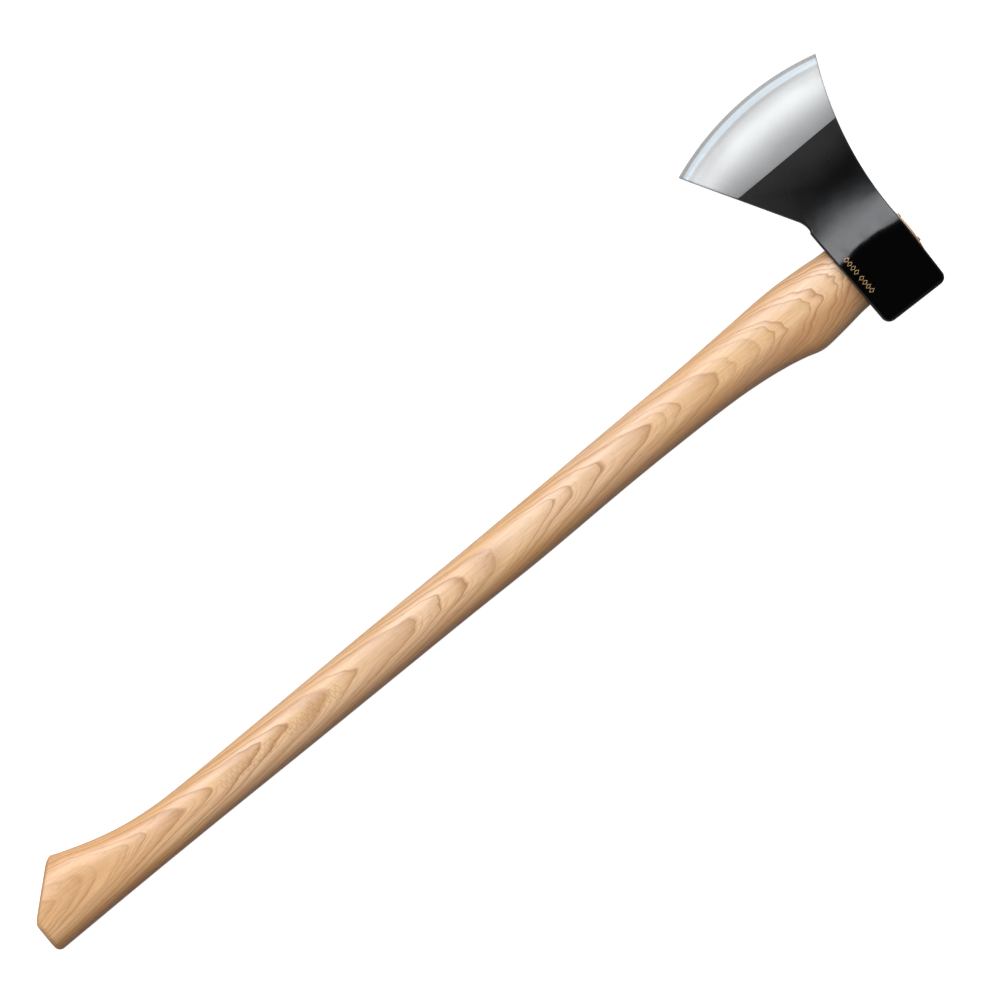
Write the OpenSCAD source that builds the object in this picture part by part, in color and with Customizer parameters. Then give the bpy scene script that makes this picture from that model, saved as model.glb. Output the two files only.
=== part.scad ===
// Splitting maul: a forged head hung on a curved hickory handle and locked with wedges.
// The maul lies on its cheek. +X runs along the handle towards the head, +Y points out
// through the cutting edge and +Z is square to the cheeks. The origin is the middle of the
// footprint, on the plane that the lower cheek lies on.

/* [Head] */
// Thickness of the head over the eye
head_thickness = 44; // [40:1:52]
// Height of the eye block along the handle
eye_block_height = 58; // [52:1:64]
// Shaft line to the middle of the poll face
poll_reach = 54; // [48:1:60]
// Rake of the poll face, in degrees
poll_rake = 3; // [0:0.5:5]
// Radius of the poll's corners
poll_corner = 6; // [3:0.5:9]
// Shaft line to the crest of the cutting edge
edge_reach = 140; // [130:1:150]
// Radius of the curved cutting edge
edge_radius = 217; // [190:1:240]
// Head's underside to the crest of the cutting edge, along the handle
edge_crest = 29; // [24:1:34]
// Angle of the heel's lower edge from the line of the cheeks, in degrees
heel_angle = 30; // [26:0.5:32]
// Radius of the hollow upper edge between the eye block and the toe
toe_sweep = 268; // [240:1:320]
// Step between the eye block's underside and the root of the blade
collar_step = 2; // [1:0.5:3]

/* [Cheeks and bit] */
// Shaft line to where the cheeks start to taper
crease_reach = 2.5; // [0:0.5:6]
// Slope of each cheek where it starts to taper, in degrees
crease_slope = 12; // [11:0.5:12.5]
// Radius of the hollow in each cheek
cheek_hollow = 757; // [740:1:800]
// Shaft line to where the hollow runs out into the ground bit
grind_reach = 87; // [80:1:92]
// Slope of each side of the ground bit, in degrees
bit_slope = 10.5; // [9.5:0.5:12]
// Width of the ground bit before it runs out into the cheeks
bit_width = 27; // [22:1:30]
// Slope of each side of the fine cutting bevel, in degrees
bevel_slope = 17; // [15:1:22]
// Width of the fine cutting bevel
bevel_width = 5.5; // [4:0.5:8]
// Thickness left at the very edge
edge_land = 0.5; // [0.3:0.1:1]

/* [Eye and wedges] */
// Length of the eye at the underside
eye_length = 50; // [46:1:52]
// Width of the eye at the underside
eye_width = 25; // [22:0.5:27]
// How much wider the eye is at the top than at the underside
eye_flare = 3; // [2:0.5:4]
// Shaft line to the middle of the eye, towards the poll
eye_setback = 8; // [6:0.5:9]
// Height of the tongue's domed end above the head
tongue_crown = 2.4; // [1.5:0.1:3.5]
// Thickness of the wooden wedge at the top
wood_wedge_thickness = 6.4; // [5:0.2:8]
// Depth that the wooden wedge is driven to
wood_wedge_depth = 42; // [36:1:46]
// Width of each steel wedge
steel_wedge_width = 20; // [16:1:22]
// Thickness of each steel wedge at the top
steel_wedge_thickness = 3.4; // [3:0.2:4]
// Length of each steel wedge
steel_wedge_length = 24; // [20:1:28]
// Distance between the two steel wedges
steel_wedge_spacing = 22; // [18:1:26]

/* [Handle] */
// Head's underside to the end of the butt
handle_reach = 752; // [740:1:765]
// Roundness of the section: 2 is an ellipse, and more is squarer
section_power = 2.35; // [2:0.05:3]
// Angle of the raked cut on the knob from the butt's square end, in degrees
knob_rake = 49; // [44:1:54]
// Shaft line to where the square end meets the raked cut
butt_flat_reach = 9.2; // [8:0.1:14]
// Chamfer around the end of the butt
butt_chamfer = 2.5; // [1:0.5:4]

/* [Hidden] */

$fn = 96;
clear = 1;              // how far a cutter runs past what it cuts
section_sides = 32;     // points round the handle's section
station_step = 10;      // distance between sections along the handle

paint_black = [0.03, 0.03, 0.035];
hickory = [0.83, 0.62, 0.42];
wedge_wood = [0.72, 0.52, 0.33];
bright_steel = [0.62, 0.63, 0.65];

// Handle outlines seen from the cheek, as [distance below the head, distance from the shaft line].
// The back faces the poll, and the front faces the cutting edge.
back_line = [
    [0, -33.5], [24, -35.6], [41, -36.9], [48, -36.3], [58, -33.2], [72, -29.9],
    [92, -26.7], [118, -24.2], [160, -22.6], [215, -21.7], [300, -22.1], [370, -20.8],
    [510, -19.1], [620, -17.5], [714, -17]
];
front_line = [
    [0, 18], [24, 20.2], [52, 21.7], [82, 21], [130, 19.8], [215, 19.4], [330, 18.8],
    [440, 19.5], [590, 19.6], [624, 20.3], [645, 22.3], [662, 25.3], [680, 30],
    [698, 36.2], [709, 40.6], [714, 41.8]
];
half_thickness = [
    [0, 15.4], [48, 16], [150, 15], [360, 14.2], [590, 13], [650, 13.4], [714, 14.8]
];
shaft_end = 704;        // the last section that is square to the handle
butt_section = 714;     // the section that the butt's faces cut

// The cutting edge is an arc about this centre, which the bit's bevels also turn about.
edge_centre = [edge_crest, edge_reach - edge_radius];

// The heel's straight lower edge runs off the blade's root through a small arc.
root_radius = 18;
root_start = 37;
root_centre = [collar_step - root_radius, root_start];
root_end = root_centre + root_radius * [cos(heel_angle), sin(heel_angle)];
collar_end = 34;
heel_far = root_end + 150 * [-sin(heel_angle), cos(heel_angle)];
sweep_start = 9;

half_head = head_thickness / 2;
hollow_centre = [
    crease_reach + cheek_hollow * sin(crease_slope),
    half_head + cheek_hollow * cos(crease_slope)
];
grind_slope = asin((hollow_centre[0] - grind_reach) / cheek_hollow);
grind_half = hollow_centre[1] - cheek_hollow * cos(grind_slope);

bevel_half = edge_land / 2 + bevel_width * tan(bevel_slope);
bit_half = bevel_half + bit_width * tan(bit_slope);
bit_inner = edge_radius - bevel_width - bit_width;
body_slope = 8.6;       // the bit's cone runs on inside the cheeks at this slope

// The poll face is a raked plane between two round corners.
rake_normal = [-sin(poll_rake), -cos(poll_rake)];
function poll_face_y(x) = -poll_reach - (x - eye_block_height / 2) * tan(poll_rake);
function corner_centre(x) = [x, poll_face_y(x) + poll_corner / cos(poll_rake)];
low_corner = corner_centre(poll_corner);
high_corner = corner_centre(eye_block_height - poll_corner);

// The eye widens evenly from the underside to the top.
function eye_radius(x) = eye_width / 2 + eye_flare / 2 * x / eye_block_height;
tongue_root = -6;
tongue_top = eye_block_height + tongue_crown;
dome_half_length = 21;
dome_radius = (dome_half_length * dome_half_length + tongue_crown * tongue_crown)
    / (2 * tongue_crown);

wedge_tip_half = 0.5;
kerf_below_wedge = 4;

// The raked cut climbs from the butt's square end to the knob's tip.
rake_gain = 1 / tan(90 - knob_rake);
function butt_x(y) = -handle_reach + max(0, y - butt_flat_reach) * rake_gain;

// The footprint's middle, on the lower cheek, is the origin.
function arc_y(x) = edge_centre[1]
    + sqrt(edge_radius * edge_radius - pow(x - edge_centre[0], 2));
toe_x = eye_block_height + toe_sweep
    - sqrt(toe_sweep * toe_sweep - pow(arc_y(86) - sweep_start, 2));
poll_y = poll_face_y(eye_block_height - poll_corner) - 0.1;
origin = [(toe_x - handle_reach) / 2, (edge_reach + poll_y) / 2, -half_head];

// Smooth curve through the points of a list of [position, value].
function piece(line, at, i = 0) =
    i >= len(line) - 2 || at <= line[i + 1][0] ? i : piece(line, at, i + 1);
function slope_at(line, i) =
    i <= 0 || i >= len(line) - 1 ? 0
    : (line[i + 1][1] - line[i - 1][1]) / (line[i + 1][0] - line[i - 1][0]);
function between(line, i, at) =
    let (
        span = line[i + 1][0] - line[i][0],
        t = (at - line[i][0]) / span,
        rise = slope_at(line, i) * span,
        fall = slope_at(line, i + 1) * span
    )
    line[i][1] * (2 * t * t * t - 3 * t * t + 1)
        + rise * (t * t * t - 2 * t * t + t)
        + line[i + 1][1] * (3 * t * t - 2 * t * t * t)
        + fall * (t * t * t - t * t);
function curve(line, at) = between(line, piece(line, at), at);

// One point of the handle's rounded section, and a whole ring of them.
function rounded(c) = sign(c) * pow(abs(c), 2 / section_power);
function section_point(below, turn, inset) =
    let (
        back = curve(back_line, below),
        front = curve(front_line, below)
    )
    [
        (front + back) / 2 + ((front - back) / 2 - inset) * rounded(cos(turn)),
        (curve(half_thickness, below) - inset) * rounded(sin(turn))
    ];
function turns() = [for (k = [0 : section_sides - 1]) 360 * k / section_sides];
function square_ring(below) = [
    for (turn = turns())
        let (p = section_point(below, turn, 0)) [-below, p[0], p[1]]
];
function butt_ring(inset, rise) = [
    for (turn = turns())
        let (p = section_point(butt_section, turn, inset))
        [butt_x(p[0]) + rise, p[0], p[1]]
];

// A tube of rings with flat ends. Each end is strips between mirrored points, so it may
// be bent across the handle.
module ringed_solid(rings) {
    n = section_sides;
    count = len(rings);
    last = (count - 1) * n;
    sides = [
        for (r = [0 : count - 2], k = [0 : n - 1])
            let (a = r * n + k, b = r * n + (k + 1) % n)
            each [[a, b, b + n], [a, b + n, a + n]]
    ];
    near_end = [
        [1, 0, n - 1],
        for (k = [1 : n / 2 - 2]) [k, n - k, n - k - 1, k + 1],
        [n / 2 + 1, n / 2, n / 2 - 1]
    ];
    far_end = [
        for (strip = near_end) [for (i = [len(strip) - 1 : -1 : 0]) last + strip[i]]
    ];
    polyhedron(points = [for (ring = rings) each ring],
        faces = concat(sides, near_end, far_end));
}

module poll_block() {
    polygon([
        [0, collar_end], [0, low_corner[1]],
        low_corner + poll_corner * rake_normal,
        high_corner + poll_corner * rake_normal,
        [eye_block_height, high_corner[1]], [eye_block_height, collar_end]
    ]);
    for (corner = [low_corner, high_corner])
        translate(corner) circle(poll_corner);
}

module blade_outline() {
    difference() {
        intersection() {
            translate(edge_centre) circle(edge_radius, $fn = 360);
            polygon([
                [collar_step, 0], [collar_step, root_start], root_end, heel_far,
                [2 * eye_block_height, heel_far[1]], [2 * eye_block_height, sweep_start],
                [eye_block_height, sweep_start], [eye_block_height, 0]
            ]);
        }
        translate(root_centre) circle(root_radius);
        translate([eye_block_height + toe_sweep, sweep_start])
            circle(toe_sweep, $fn = 360);
    }
}

// The cheeks seen along the handle: flat over the eye, then hollowed towards the bit.
module cheek_profile() {
    run = edge_reach + clear - grind_reach;
    tip = grind_half - run * tan(grind_slope);
    difference() {
        polygon([
            [-2 * poll_reach, -half_head], [crease_reach, -half_head],
            [grind_reach, -grind_half], [grind_reach + run, -tip],
            [grind_reach + run, tip], [grind_reach, grind_half],
            [crease_reach, half_head], [-2 * poll_reach, half_head]
        ]);
        for (side = [-1, 1])
            translate([hollow_centre[0], side * hollow_centre[1]])
                circle(cheek_hollow, $fn = 720);
    }
}

// The ground bit and its fine bevel, turned about the centre of the cutting edge.
module bit_lens() {
    hub = bit_half + bit_inner * tan(body_slope);
    rotate_extrude($fn = 360)
        polygon([
            [0, -hub], [bit_inner, -bit_half], [edge_radius - bevel_width, -bevel_half],
            [edge_radius, -edge_land / 2], [edge_radius, edge_land / 2],
            [edge_radius - bevel_width, bevel_half], [bit_inner, bit_half], [0, hub]
        ]);
}

// The tapered oval of the eye between two heights, used for the hole and for the tongue.
module eye_solid(low, high) {
    reach = (eye_length - eye_width) / 2;
    height = high - low;
    translate([low, -eye_setback, 0]) {
        for (side = [-1, 1])
            translate([0, side * reach, 0]) rotate([0, 90, 0])
                cylinder(h = height, r1 = eye_radius(low), r2 = eye_radius(high));
        rotate([90, 0, 0]) linear_extrude(2 * reach, center = true)
            polygon([
                [0, -eye_radius(low)], [height, -eye_radius(high)],
                [height, eye_radius(high)], [0, eye_radius(low)]
            ]);
    }
}

module tongue() {
    intersection() {
        eye_solid(tongue_root, tongue_top + clear);
        translate([tongue_top - dome_radius, -eye_setback, 0])
            cylinder(h = head_thickness, r = dome_radius, center = true);
    }
}

// The wooden wedge's taper, seen from its end, as deep as asked.
module wood_taper(depth_below) {
    top = tongue_top + clear;
    tip = tongue_top - wood_wedge_depth;
    gain = (wood_wedge_thickness / 2 - wedge_tip_half) / wood_wedge_depth;
    top_half = wedge_tip_half + gain * (top - tip);
    translate([0, -eye_setback, 0]) rotate([90, 0, 0])
        linear_extrude(2 * eye_length, center = true)
            polygon([
                [tip - depth_below, -wedge_tip_half], [tip, -wedge_tip_half],
                [top, -top_half], [top, top_half],
                [tip, wedge_tip_half], [tip - depth_below, wedge_tip_half]
            ]);
}

module steel_taper(side) {
    half = steel_wedge_thickness / 2;
    tip_half = half / 4;
    top = tongue_top - 0.4;
    translate([top, side * steel_wedge_spacing / 2 - eye_setback, 0])
        linear_extrude(steel_wedge_width, center = true)
            polygon([
                [0, -half], [0, half],
                [-steel_wedge_length, tip_half], [-steel_wedge_length, -tip_half]
            ]);
}

module head() {
    color(paint_black) translate(-origin) difference() {
        intersection() {
            linear_extrude(head_thickness, center = true) {
                poll_block();
                blade_outline();
            }
            translate([-2 * eye_block_height, 0, 0]) rotate([90, 0, 90])
                linear_extrude(5 * eye_block_height) cheek_profile();
            translate(edge_centre) bit_lens();
        }
        eye_solid(-clear, eye_block_height + clear);
    }
}

module handle() {
    steps = ceil(shaft_end / station_step);
    rings = concat(
        [for (i = [0 : steps]) square_ring(shaft_end * i / steps)],
        [butt_ring(0, butt_chamfer), butt_ring(butt_chamfer, 0)]
    );
    color(hickory) translate(-origin) difference() {
        union() {
            ringed_solid(rings);
            tongue();
        }
        wood_taper(kerf_below_wedge);
        for (side = [-1, 1]) steel_taper(side);
    }
}

module wood_wedge() {
    color(wedge_wood) translate(-origin) difference() {
        intersection() {
            tongue();
            wood_taper(0);
        }
        for (side = [-1, 1]) steel_taper(side);
    }
}

module steel_wedge(side) {
    color(bright_steel) translate(-origin) steel_taper(side);
}

head();
handle();
wood_wedge();
steel_wedge(1);  // steel_wedge_front
steel_wedge(-1);  // steel_wedge_rear
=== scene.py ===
"""Splitting maul: the finished head, handle, wedges and marks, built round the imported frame."""
import math

import bmesh
import bpy
from bpy.props import FloatProperty, FloatVectorProperty, IntProperty, PointerProperty
from mathutils import Matrix, Vector


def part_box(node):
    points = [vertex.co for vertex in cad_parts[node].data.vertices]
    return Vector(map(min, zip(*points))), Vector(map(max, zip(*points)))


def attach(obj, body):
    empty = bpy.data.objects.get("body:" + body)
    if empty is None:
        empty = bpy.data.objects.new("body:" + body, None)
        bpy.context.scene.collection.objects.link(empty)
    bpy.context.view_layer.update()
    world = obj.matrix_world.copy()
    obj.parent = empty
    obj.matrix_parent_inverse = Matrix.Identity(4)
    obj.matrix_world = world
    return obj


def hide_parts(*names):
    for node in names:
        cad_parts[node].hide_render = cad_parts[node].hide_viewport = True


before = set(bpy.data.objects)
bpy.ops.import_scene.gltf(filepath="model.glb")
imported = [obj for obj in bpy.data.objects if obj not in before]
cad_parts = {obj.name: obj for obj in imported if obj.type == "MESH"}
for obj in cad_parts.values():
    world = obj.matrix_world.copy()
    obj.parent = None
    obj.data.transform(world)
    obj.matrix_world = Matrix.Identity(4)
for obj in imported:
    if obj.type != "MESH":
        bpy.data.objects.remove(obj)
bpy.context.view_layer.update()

bl_info = {
    "name": "Splitting Maul",
    "version": (1, 0, 0),
    "blender": (4, 5, 0),
    "location": "View3D > Sidebar > Maul",
    "description": "Builds the finished head, handle, wedges and marks of a splitting maul",
    "category": "Add Mesh",
}

MM = 0.001

# ---------------------------------------------------------------------------------------
# Shape. Every length is in millimetres from the maul's datum, where the shaft line meets
# the head's underside: X towards the head's top, Y towards the edge, Z square to the
# cheeks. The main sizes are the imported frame's.

HANDLE_REACH = 752
EDGE_REACH = 140
EDGE_RADIUS = 217
EDGE_CREST = 29
EDGE_CENTRE = Vector((EDGE_CREST, EDGE_REACH - EDGE_RADIUS, 0))
EYE_BLOCK_HEIGHT = 57.6
TOP_TAPER = 0.035
TOP_TAPER_START = -8
HALF_HEAD = 22
UNDER_START = 1.1
UNDER_LEAN = 0.012
POLL_REACH = 53.8
POLL_RAKE = math.radians(2)
POLL_CORNER = 6
POLL_ARRIS = 2.5
COLLAR_END = 34.5
COLLAR_SOFT = 1.2
COLLAR_STEP = 2
ROOT_RADIUS = 18
ROOT_START = 37
HEEL_ANGLE = math.radians(30)
SWEEP_RADIUS = 268
SWEEP_START = 9

# The cheeks. A pair of numbers after a rise or a fall is where it starts and ends.
CHEEK_CROWN = 0.35
CROWN_RISE = (2, 30)
CROWN_FALL = (50, 86)
CREASE_ARCH = 4.4
CREASE_ARCH_MIDDLE = 25
CREASE_ARCH_SPAN = 62
CREASE_ARCH_FALL = (2, 86)
# Each wave of the ragged crease as (length, place, share).
CREASE_WAVES = ((2.9, 0.6, 1), (1.3, 2, 0.5))
CREASE_WAVES_FALL = (3, 14)

# How steeply a cheek falls, in degrees, at distances from the shaft line.
CHEEK_SLOPES = (
    (-4.7, 0), (-0.8, 8), (1.8, 12.4), (7, 13), (12, 13), (20, 11.9), (30, 10.2), (40, 9.0),
    (50, 7.1), (60, 6.5), (70, 6.3), (88, 4.4),
)
# The same for the ground bit, at distances in from the edge.
BIT_SLOPES = (
    (0, 12), (2.6, 12), (3.6, 10.8), (6.6, 10.8), (8.4, 7.6), (10.5, 8.2), (20, 11),
    (26, 10.4), (32, 8.8), (42, 6.6), (54, 5),
)
# Between these distances in from the edge, lines of one height turn from arcs to straight.
ARC_LINES_END = 5
STRAIGHT_LINES_START = 46

# Lines across the head that its skin is laid on, as (start, stop, distance apart).
CHEEK_LINES = ((-5, 16, 0.7), (16, 32, 2), (32, 47, 0.8))
POLL_LINES_APART = 3
BLADE_LINES_APART = 2
FAN_START = 11
FAN_LINES = 24
BIT_LINES_APART = 0.5
HEAD_COLUMNS = 96
SIDE_LINE = 0.6
POLL_STEPS = 7
CORNER_STEPS = 4
CORNER_SHARE = 0.45
# How far from the poll its rake has died out, and where forged corners become ground ones.
RAKE_END = 43.8
GRIND_FEATHER = (-0.5, 1.5)
# Goes at finding where a line across the head meets its outline.
OUTLINE_PASSES = 13

EYE_CENTRE = -8
EYE_HALF_LENGTH = 25
EYE_HALF_WIDTH = 12.5
EYE_FLARE = 1.5
EYE_CHAMFER = 0.8
EYE_POWER = 2.6
EYE_SIDES = 64
TONGUE_TOP = 59.2
TONGUE_DOME = 93.1
TONGUE_GAP = 0.08
TONGUE_RIM = 0.8
TONGUE_RIM_START = 2
TONGUE_SUNK = 0.15
TONGUE_LINES_APART = 8
SHOULDER_RIM = 1.0

WEDGE_DEPTH = 42
WEDGE_HALF = 3.2
WEDGE_TIP_HALF = 0.5
STEEL_LENGTH = 24
STEEL_HALF_WIDTH = 10
STEEL_HALF = 1.7
STEEL_TIP_HALF = 0.42
STEEL_SPACING = 22
STEEL_PROUD = 0.2
STEEL_ARRIS = 0.3
WOOD_PROUD = 0.1
KERF_GAP = 0.12
KERF_HALF_LENGTH = EYE_HALF_LENGTH + 8
CUTTER_OVER = 3

SECTION_POWER = 2.35
SHAFT_END = 704
BUTT_SECTION = 714
KNOB_RAKE = math.radians(49)
BUTT_FLAT_REACH = 9.2
BUTT_BEND = 1.4
BUTT_RIM = 3.2
BUTT_LOW_RIM = 1.8
BUTT_LOW_REACH = 16
BUTT_TRIM = 0.8
BUTT_STEPS = 5
RIM_STEPS = 4
# Sections up the handle, as (start, stop, distance apart) below the head.
SHAFT_LINES = ((SHAFT_END, 640, 4), (640, 130, 7.5), (130, 1, 2.6))

# Outlines of the handle, as (distance below the head, distance from the shaft line).
BACK_LINE = (
    (0, -33.5), (24, -35.6), (41, -36.9), (48, -36.3), (58, -33.2), (72, -29.9),
    (92, -26.7), (118, -24.2), (160, -22.6), (215, -21.7), (300, -22.1), (370, -20.8),
    (510, -19.1), (620, -17.5), (714, -17),
)
FRONT_LINE = (
    (0, 18), (24, 20.2), (52, 21.7), (82, 21), (130, 19.8), (215, 19.4), (330, 18.8),
    (440, 19.5), (590, 19.6), (624, 20.3), (645, 22.3), (662, 25.3), (680, 30),
    (698, 36), (709, 40), (714, 41.1),
)
HALF_THICKNESS = (
    (0, 15.4), (48, 16), (150, 15), (360, 14.2), (590, 13), (650, 13.4), (714, 14.8),
)

# Points closer than this are merged, and edges sharper than this stay crisp.
MERGE_REACH = 0.002
CRISP_ANGLE = math.radians(40)

# Grain of the hickory, along X, Y and Z: how long its slow and its quick wander are, how
# finely its pores and fibres repeat, and how long its changes of tone are.
SLOW_WANDER = (70.0, 21.0, 21.0)
QUICK_WANDER = (12.0, 5.5, 5.5)
QUICK_WANDER_SIZE = 0.7
SWELL_WANDER_SIZE = 2.6
SWELL_WANDER_REACH = 45.0
HEAD_LEAN_REACH = 120.0
PORES = (0.16, 2.4, 2.4)
FIBRES = (0.03, 0.9, 0.9)
TONES = (110.0, 14.0, 30.0)
FINE_LINES_A_RING = 3.0

# Marks. Two groups of plain lozenges stand on the cheek, and two on the handle.
GILT_X = 8.4
GILT_STARTS = (2.6, -14.6)
GILT_PITCH = 3.8
GILT_IN_GROUP = 4
GILT_HALVES = (2.5, 1.75, 1)
GILT_STROKE = 0.7
GILT_PROUD = 0.06
STAMP_PITCH = 5.2
STAMP_GAP = 9.0
STAMP_IN_GROUP = 10
STAMP_HALF_HEIGHT = 4.3
STAMP_HALF_STROKE = 0.42
STAMP_FILL = 0.8

# Stage. The floor's width is in metres. The panel's near and far sides are angles from
# overhead towards the edge, and its swing is the angle from overhead along the handle.
PICTURE_MIDDLE = Vector((-295.6, 29.94, 0))
FLOOR_HALF_WIDTH = 8
FLOOR_PIVOT = Vector((0, 2.5, -HALF_HEAD - 0.3))
DAYLIGHT = (0.965, 1.0, 1.04, 1)
PANEL_NEAR = math.radians(19)
PANEL_NEAR_SOFT = math.radians(8)
PANEL_FAR = math.radians(55)
PANEL_FAR_SOFT = math.radians(14)
PANEL_SWING = 0.33
PANEL_HALF_SWING = math.radians(30)
PANEL_SWING_END = math.radians(50)
DARK_START = math.cos(math.radians(34))
DARK_END = math.cos(math.radians(10))
LOW_GLOW = 3.2
BUTT_GLOW = 0.35
BUTT_GLOW_FROM = (-0.94, -0.25, 0.22)
FLOOR_GLOW = 0.97

HEAD_LOW, HEAD_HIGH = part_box("head")
HANDLE_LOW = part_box("handle")[0]
DATUM = Vector((
    HANDLE_LOW.x + HANDLE_REACH * MM,
    HEAD_HIGH.y - EDGE_REACH * MM,
    (HEAD_LOW.z + HEAD_HIGH.z) / 2,
))
PLACE = Matrix.Translation(DATUM) @ Matrix.Scale(MM, 4)


# ---------------------------------------------------------------------------------------
# Settings


class MAUL_PG_head(bpy.types.PropertyGroup):
    """Sizes and colours of the head's finish."""

    paint_reach: FloatProperty(
        name="Paint edge", description="Shaft line to the straight edge of the enamel",
        default=0.087, min=0.06, max=0.11, unit="LENGTH")
    edge_round: FloatProperty(
        name="Forged corner", description="Radius of the forged head's long corners",
        default=0.0014, min=0.0005, max=0.004, unit="LENGTH")
    bit_round: FloatProperty(
        name="Ground corner", description="Radius of the corners of the ground bit",
        default=0.0005, min=0.0002, max=0.002, unit="LENGTH")
    crease_waver: FloatProperty(
        name="Crease waver", description="How far the forged crease strays from a line",
        default=0.0003, min=0.0, max=0.003, unit="LENGTH")
    enamel: FloatVectorProperty(
        name="Enamel", description="Colour of the enamel over the eye",
        default=(0.0012, 0.0012, 0.0014), size=3, min=0, max=1, subtype="COLOR")
    # Painted sheen: this greyer enamel colour stands in for the soft panel's reflection near the
    # bit.
    sheen_enamel: FloatVectorProperty(
        name="Thin enamel", description="Colour of the thinner enamel near the bit",
        default=(0.030, 0.028, 0.027), size=3, min=0, max=1, subtype="COLOR")
    steel: FloatVectorProperty(
        name="Ground steel", description="Colour of the bare ground steel",
        default=(0.405, 0.40, 0.39), size=3, min=0, max=1, subtype="COLOR")
    gilt: FloatVectorProperty(
        name="Gilt", description="Colour of the printed marks",
        default=(0.50, 0.31, 0.13), size=3, min=0, max=1, subtype="COLOR")


class MAUL_PG_handle(bpy.types.PropertyGroup):
    """Colours and grain of the hickory."""

    sides: IntProperty(
        name="Sides", description="Points round the handle's section",
        default=64, min=16, max=128)
    light_wood: FloatVectorProperty(
        name="Late wood", description="Colour of the wood between the growth lines",
        default=(0.93, 0.58, 0.28), size=3, min=0, max=1, subtype="COLOR")
    # This colour also serves as the painted shade along the handle's edges.
    dark_wood: FloatVectorProperty(
        name="Early wood", description="Colour of the growth lines",
        default=(0.46, 0.175, 0.046), size=3, min=0, max=1, subtype="COLOR")
    ring_width: FloatProperty(
        name="Ring width", description="Distance between growth lines",
        default=0.0026, min=0.001, max=0.01, unit="LENGTH")
    stamp_start: FloatProperty(
        name="Stamp", description="Head's underside to the far end of the burnt marks",
        default=0.584, min=0.3, max=0.65, unit="LENGTH")


class MAUL_PG_stage(bpy.types.PropertyGroup):
    """Camera, floor and studio light."""

    camera_height: FloatProperty(
        name="Camera height", description="Camera above the middle of the maul",
        default=20.0, min=1.0, max=50.0, unit="LENGTH")
    picture_width: FloatProperty(
        name="Picture width", description="Width that the camera sees at the maul",
        default=0.725, min=0.3, max=2.0, unit="LENGTH")
    camera_roll: FloatProperty(
        name="Camera roll", description="Angle of the handle above the picture's base",
        default=math.radians(39.85), unit="ROTATION")
    rest_roll: FloatProperty(
        name="Roll at rest", description="How far the floor turns about the handle's line",
        default=math.radians(8.25), unit="ROTATION")
    rest_pitch: FloatProperty(
        name="Pitch at rest", description="How far the floor turns along the handle",
        default=math.radians(0.38), unit="ROTATION")
    key_strength: FloatProperty(
        name="Soft panel", description="Brightness of the studio's soft panel",
        default=6.2, min=0, max=20)
    fill_strength: FloatProperty(
        name="Room", description="Brightness of the room round the stage",
        default=0.23, min=0, max=5)
    floor_colour: FloatVectorProperty(
        name="Floor", description="Colour of the pale floor",
        default=(0.3, 0.3, 0.3), size=3, min=0, max=1, subtype="COLOR")


# ---------------------------------------------------------------------------------------
# Outlines and surfaces


def curve(line, at):
    """Smooth value at a place on a list of (place, value) points."""
    last = len(line) - 2
    i = next((k for k in range(last) if at <= line[k + 1][0]), last)
    (start, low), (end, high) = line[i], line[i + 1]
    span = end - start

    def lean(k):
        if k in (0, len(line) - 1):
            return 0.0
        return (line[k + 1][1] - line[k - 1][1]) / (line[k + 1][0] - line[k - 1][0])

    t = (at - start) / span
    return (
        low * (2 * t**3 - 3 * t**2 + 1)
        + lean(i) * span * (t**3 - 2 * t**2 + t)
        + high * (3 * t**2 - 2 * t**3)
        + lean(i + 1) * span * (t**3 - t**2)
    )


def drop(slopes, reach):
    """Height lost from the first point of a list of slopes to a distance."""
    lost = 0.0
    for (start, before), (end, after) in zip(slopes, slopes[1:]):
        if reach <= start:
            break
        span = min(reach, end) - start
        there = before + (after - before) * span / (end - start)
        lost += span * (math.tan(math.radians(before)) + math.tan(math.radians(there))) / 2
    return lost


def clamp(value, low=0.0, high=1.0):
    """A value kept within limits."""
    return min(max(value, low), high)


def ease(start, end, at):
    """0 before start, 1 past end, and smooth between."""
    t = clamp((at - start) / (end - start))
    return t * t * (3 - 2 * t)


def round_in(reach, radius):
    """How far a rounded end pulls in, at a distance from the very end."""
    return radius - math.sqrt(max(0.0, radius**2 - max(0.0, radius - reach) ** 2))


def spread(start, stop, step):
    """Evenly spaced places from start up to, and without, stop."""
    count = max(1, round(abs(stop - start) / step))
    return [start + (stop - start) * k / count for k in range(count)]


def quarter(steps):
    """Angles of the points of a quarter round."""
    return [math.pi / 2 * k / steps for k in range(steps + 1)]


def underside(y):
    """Lower edge of the head's outline: block, collar, root and heel."""
    block = UNDER_START - UNDER_LEAN * y
    centre = COLLAR_STEP - ROOT_RADIUS
    end = ROOT_START + ROOT_RADIUS * math.sin(HEEL_ANGLE)
    if y <= ROOT_START:
        step = ease(COLLAR_END - COLLAR_SOFT, COLLAR_END + COLLAR_SOFT, y)
        return block * (1 - step) + COLLAR_STEP * step
    if y <= end:
        return centre + math.sqrt(ROOT_RADIUS**2 - (y - ROOT_START) ** 2)
    return centre + ROOT_RADIUS * math.cos(HEEL_ANGLE) - (y - end) * math.tan(HEEL_ANGLE)


def topside(y):
    """Upper edge of the head's outline: block, then the hollow sweep to the toe."""
    rise = max(0.0, y - SWEEP_START)
    sweep = SWEEP_RADIUS - math.sqrt(SWEEP_RADIUS**2 - rise**2)
    return EYE_BLOCK_HEIGHT + sweep - TOP_TAPER * max(0.0, TOP_TAPER_START - y)


def edge_distance(x, y):
    """Distance in from the curved cutting edge."""
    return EDGE_RADIUS - math.hypot(x - EDGE_CENTRE.x, y - EDGE_CENTRE.y)


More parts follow.
